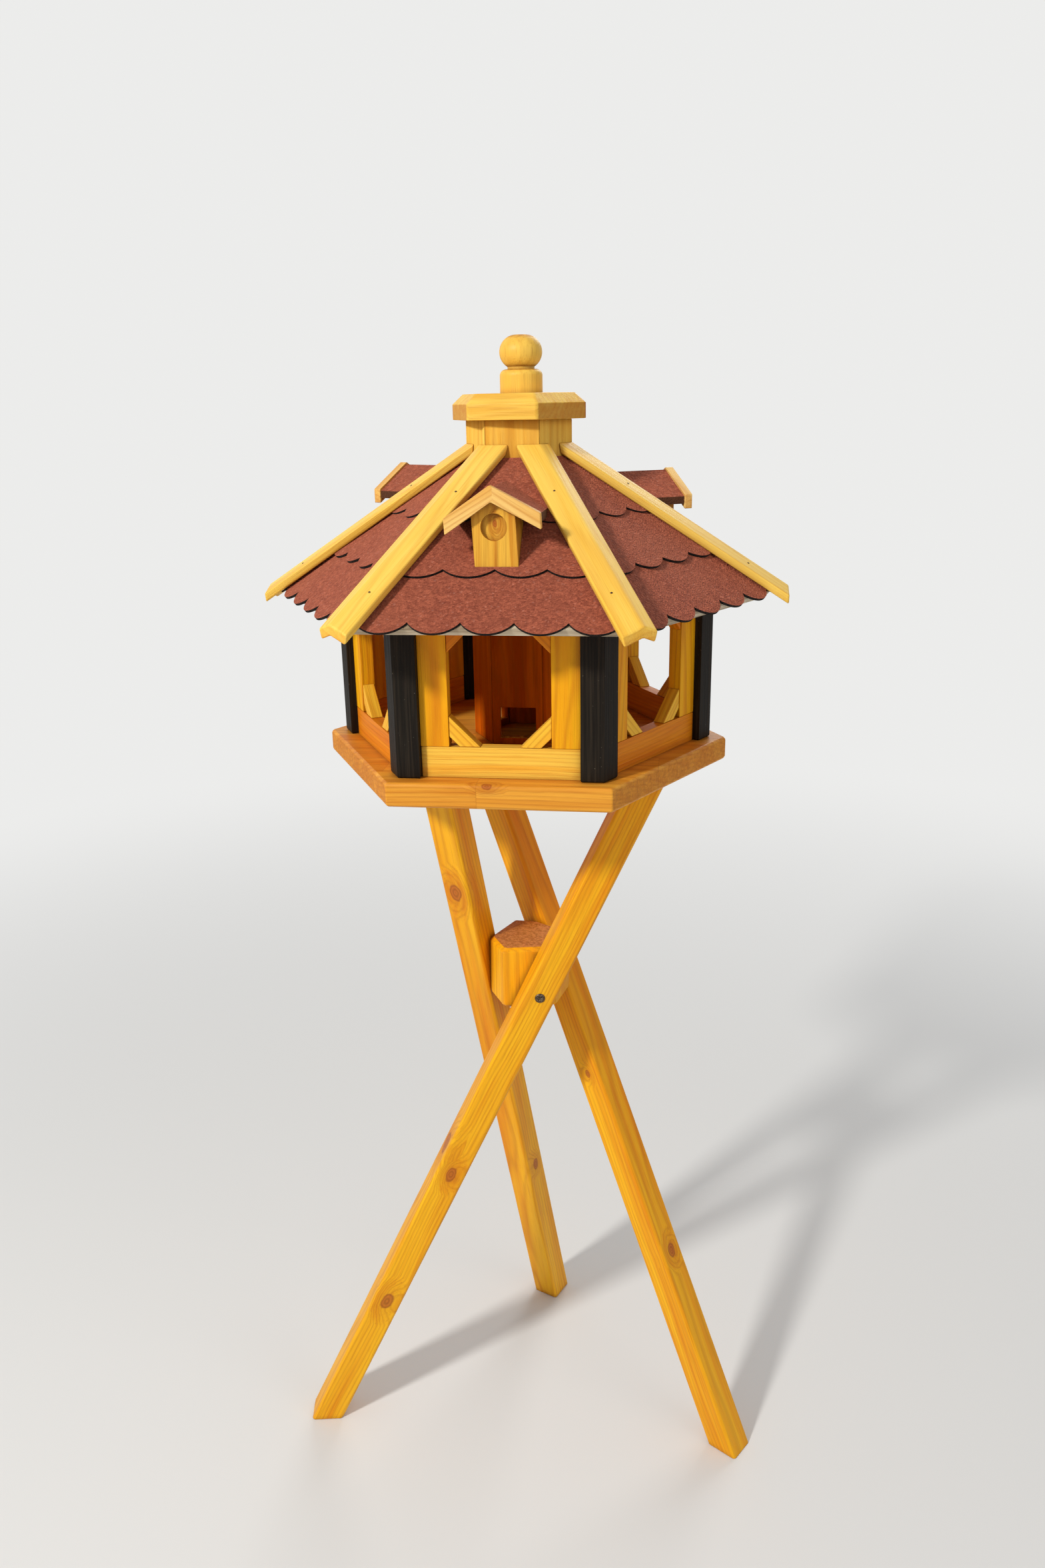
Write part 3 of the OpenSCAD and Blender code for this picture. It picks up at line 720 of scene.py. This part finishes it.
# cupola
cap_turn = math.radians(CAP_TURN)
cap_grain = grain_rows((math.cos(cap_turn), math.sin(cap_turn), 0), (0, 0, 1))
paint("silo_boards", wood_material("wood_silo_painted_shade_inside", SILO_WOOD, UPRIGHT, seed=1.7, rings=0.25, streaks=0.7,
                                   first_bearing=ON_SIDES, shaded_inside=SILO_PAINTED_SHADE_INSIDE, gloss=0.0, coat=0.0))
ease("silo_boards", SHARP_EDGE)
paint("silo_cap", wood_material("wood_cap", CAP_WOOD, cap_grain, seed=9.4, rings=0.14, end=CAP_END))
ease("silo_cap", PLANED_EDGE, ROUND_STEPS)
paint("finial", wood_material("wood_finial", FINIAL_WOOD, UPRIGHT, seed=2.2, rings=0.1, streaks=0.35))

# screws and nails
LOBES = 6
LOBE_DEPTH = 0.16


def lathe(bm, profile, place, direction, steps, lobed=()):
    """Turns (radius, height) pairs about a direction through a place; the lobed rows get lobes."""
    turn = Vector(direction).to_track_quat("Z", "Y").to_matrix()
    rings = []
    for row, (radius, height) in enumerate(profile):
        if radius == 0:
            rings.append([bm.verts.new(Vector(place) + turn @ Vector((0, 0, height)))])
            continue
        ring = []
        for i in range(steps):
            a = 2 * math.pi * i / steps
            reach = radius * (1 + LOBE_DEPTH * math.cos(LOBES * a)) if row in lobed else radius
            spot = Vector((reach * math.cos(a), reach * math.sin(a), height))
            ring.append(bm.verts.new(Vector(place) + turn @ spot))
        rings.append(ring)
    for low, high in zip(rings, rings[1:]):
        for i in range(steps):
            j = (i + 1) % steps
            if len(high) == 1:
                bm.faces.new((low[i], low[j], high[0]))
            else:
                bm.faces.new((low[i], low[j], high[j], high[i]))


def add_piece(name, bm, material):
    """Puts a smooth piece on the root."""
    bmesh.ops.recalc_face_normals(bm, faces=bm.faces)
    mesh = bpy.data.meshes.new(name)
    bm.to_mesh(mesh)
    bm.free()
    for face in mesh.polygons:
        face.use_smooth = True
    mesh.materials.append(material)
    piece = bpy.data.objects.new(name, mesh)
    bpy.context.scene.collection.objects.link(piece)
    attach(piece, "root")


# height of the screws over the point where a leg passes the axis, and radius of their heads
SCREW_RISE = 0.022
HEAD = 0.0065
# rim, domed face and the lobed socket in its middle
SCREW_PROFILE = [
    (HEAD, -0.001), (HEAD, 0.0004), (HEAD * 0.93, 0.0009), (HEAD * 0.8, 0.0014), (HEAD * 0.62, 0.0019),
    (HEAD * 0.5, 0.002), (HEAD * 0.46, 0.0018), (HEAD * 0.42, 0.0003), (0, 0.0002)]
SOCKET_ROWS = (5, 6, 7)
SCREW_STEPS = 48
screw_steel = steel_material("dark_screw_steel", *SCREW_STEEL, roughness=0.3)
for name, leg in LEGS.items():
    out, up, middle = leg_frame(leg)
    place = middle + out * LEG_WIDTH / 2 + up * SCREW_RISE / math.cos(math.radians(leg["lean"]))
    bm = bmesh.new()
    lathe(bm, SCREW_PROFILE, place, out, SCREW_STEPS, SOCKET_ROWS)
    add_piece("screw_" + name, bm, screw_steel)

# radius of a nail's head, and places of the nails out from the axis and aside from the hip
NAIL = 0.0013
NAIL_PROFILE = [(NAIL, -0.001), (NAIL, 0.0001), (NAIL * 0.8, 0.0004), (NAIL * 0.4, 0.0006), (0, 0.00065)]
NAIL_STEPS = 14
NAIL_RADII = (0.128, 0.268)
NAIL_ASIDE = 0.0115
# the outer flanges of the two front strips have none
BARE_FLANGES = {"front_right": 1, "front_left": -1}
nail_steel = steel_material("nail_steel", *NAIL_STEEL, roughness=0.4)
for corner, bearing in CORNERS.items():
    around = Matrix.Rotation(math.radians(bearing), 3, "Z")
    bm = bmesh.new()
    for hand in (-1, 1):
        if BARE_FLANGES.get(corner) == hand:
            continue
        flat = Vector((math.cos(HALF_SIXTH), hand * math.sin(HALF_SIXTH), 0))
        normal = flat * math.sin(slope) + Vector((0, 0, math.cos(slope)))
        for radius in NAIL_RADII:
            spot = Vector((radius, hand * NAIL_ASIDE, 0))
            rise = (EAVE_APOTHEM - spot.dot(flat)) * math.tan(slope)
            spot.z = EAVE_Z + rise + STRIP_FACE / math.cos(slope)
            lathe(bm, NAIL_PROFILE, around @ spot, around @ normal, NAIL_STEPS)
    add_piece("nails_" + corner, bm, nail_steel)

# floor and light
FLOOR_COLOUR = (0.74, 0.74, 0.73, 1.0)
FLOOR_RADIUS = 40.0
# distances between which the floor fades into the backdrop
FADE_RADII = (0.7, 3.2)
BACKDROP_COLOUR = (0.84, 0.84, 0.83, 1.0)
SKY_COLOUR = (1.0, 1.0, 1.0, 1.0)
SKY_STRENGTH = 0.42
WHITE = (1.0, 1.0, 1.0)
SUNNY = (1.0, 0.98, 0.94)


def blended(tree, factor, first, second):
    """The output of two shaders blended by a factor."""
    node = add(tree, "ShaderNodeMixShader")
    tree.links.new(factor, node.inputs[0])
    tree.links.new(first.outputs[0], node.inputs[1])
    tree.links.new(second.outputs[0], node.inputs[2])
    return node.outputs[0]


def floor_material():
    """Pale floor that fades into the backdrop where the camera sees it."""
    material, tree, shader = start_material("pale_floor")
    surface = shader.outputs[0].links[0].to_socket
    shader.inputs["Base Color"].default_value = FLOOR_COLOUR
    shader.inputs["Roughness"].default_value = 0.9
    away = vector_calc(tree, "LENGTH", add(tree, "ShaderNodeTexCoord").outputs["Object"])
    seen = add(tree, "ShaderNodeLightPath").outputs["Is Camera Ray"]
    faded = calc(tree, "MULTIPLY", ramp(tree, away, *FADE_RADII), seen)
    backdrop = add(tree, "ShaderNodeEmission")
    backdrop.inputs["Color"].default_value = BACKDROP_COLOUR
    tree.links.new(blended(tree, faded, shader, backdrop), surface)
    return material


def make_world():
    """White light all round, and the colour of the backdrop where it is seen."""
    world = bpy.data.worlds.new("studio")
    bpy.context.scene.world = world
    world.use_nodes = True
    tree = world.node_tree
    tree.nodes.clear()
    path = add(tree, "ShaderNodeLightPath").outputs
    seen = calc(tree, "MAXIMUM", path["Is Camera Ray"], path["Is Glossy Ray"])
    seen = calc(tree, "MAXIMUM", seen, path["Is Transmission Ray"])
    sky = add(tree, "ShaderNodeBackground")
    sky.inputs["Color"].default_value = SKY_COLOUR
    sky.inputs["Strength"].default_value = SKY_STRENGTH
    backdrop = add(tree, "ShaderNodeBackground")
    backdrop.inputs["Color"].default_value = BACKDROP_COLOUR
    target = add(tree, "ShaderNodeOutputWorld")
    tree.links.new(blended(tree, seen, sky, backdrop), target.inputs["Surface"])


def lamp(name, place, aim_height, size, power, colour=WHITE):
    """A round soft lamp that looks at the axis of the stand."""
    data = bpy.data.lights.new(name, "AREA")
    data.shape = "DISK"
    data.size = size
    data.energy = power
    data.color = colour
    item = bpy.data.objects.new(name, data)
    item.location = place
    item.rotation_mode = "QUATERNION"
    item.rotation_quaternion = (Vector((0, 0, aim_height)) - Vector(place)).to_track_quat("-Z", "Y")
    bpy.context.scene.collection.objects.link(item)


bm = bmesh.new()
bmesh.ops.create_circle(bm, cap_ends=True, segments=96, radius=FLOOR_RADIUS)
mesh = bpy.data.meshes.new("floor")
bm.to_mesh(mesh)
bm.free()
mesh.materials.append(floor_material())
floor = bpy.data.objects.new("floor", mesh)
bpy.context.scene.collection.objects.link(floor)
make_world()
lamp("key", (-1.9, -2.5, 2.95), 0.85, size=0.4, power=104, colour=SUNNY)
lamp("fill", (2.6, -1.6, 1.9), 0.8, size=2.0, power=10)
lamp("back", (0.6, 2.6, 2.8), 1.0, size=1.6, power=30)

# camera of the photo
CAMERA_PLACE = (0.2001, -1.4133, 1.3891)
CAMERA_YAW = math.radians(8.2)
CAMERA_PITCH = math.radians(17.97)
CAMERA_ROLL = math.radians(-1.11)
FOCAL_PIXELS = 1766
IMAGE_HEIGHT = 2352
SENSOR = 36.0
ahead = Vector((-math.sin(CAMERA_YAW) * math.cos(CAMERA_PITCH),
                math.cos(CAMERA_YAW) * math.cos(CAMERA_PITCH), -math.sin(CAMERA_PITCH)))
right = Vector((math.cos(CAMERA_YAW), math.sin(CAMERA_YAW), 0))
above = right.cross(ahead)
camera_x = right * math.cos(CAMERA_ROLL) + above * math.sin(CAMERA_ROLL)
camera_y = above * math.cos(CAMERA_ROLL) - right * math.sin(CAMERA_ROLL)
data = bpy.data.cameras.new("camera")
data.sensor_width = SENSOR
data.lens = SENSOR * FOCAL_PIXELS / IMAGE_HEIGHT
data.clip_start = 0.01
camera = bpy.data.objects.new("camera", data)
basis = Matrix((camera_x, camera_y, -ahead)).transposed().to_4x4()
camera.matrix_world = Matrix.Translation(CAMERA_PLACE) @ basis
bpy.context.scene.collection.objects.link(camera)
bpy.context.scene.camera = camera
bpy.context.scene.view_settings.view_transform = "Standard"
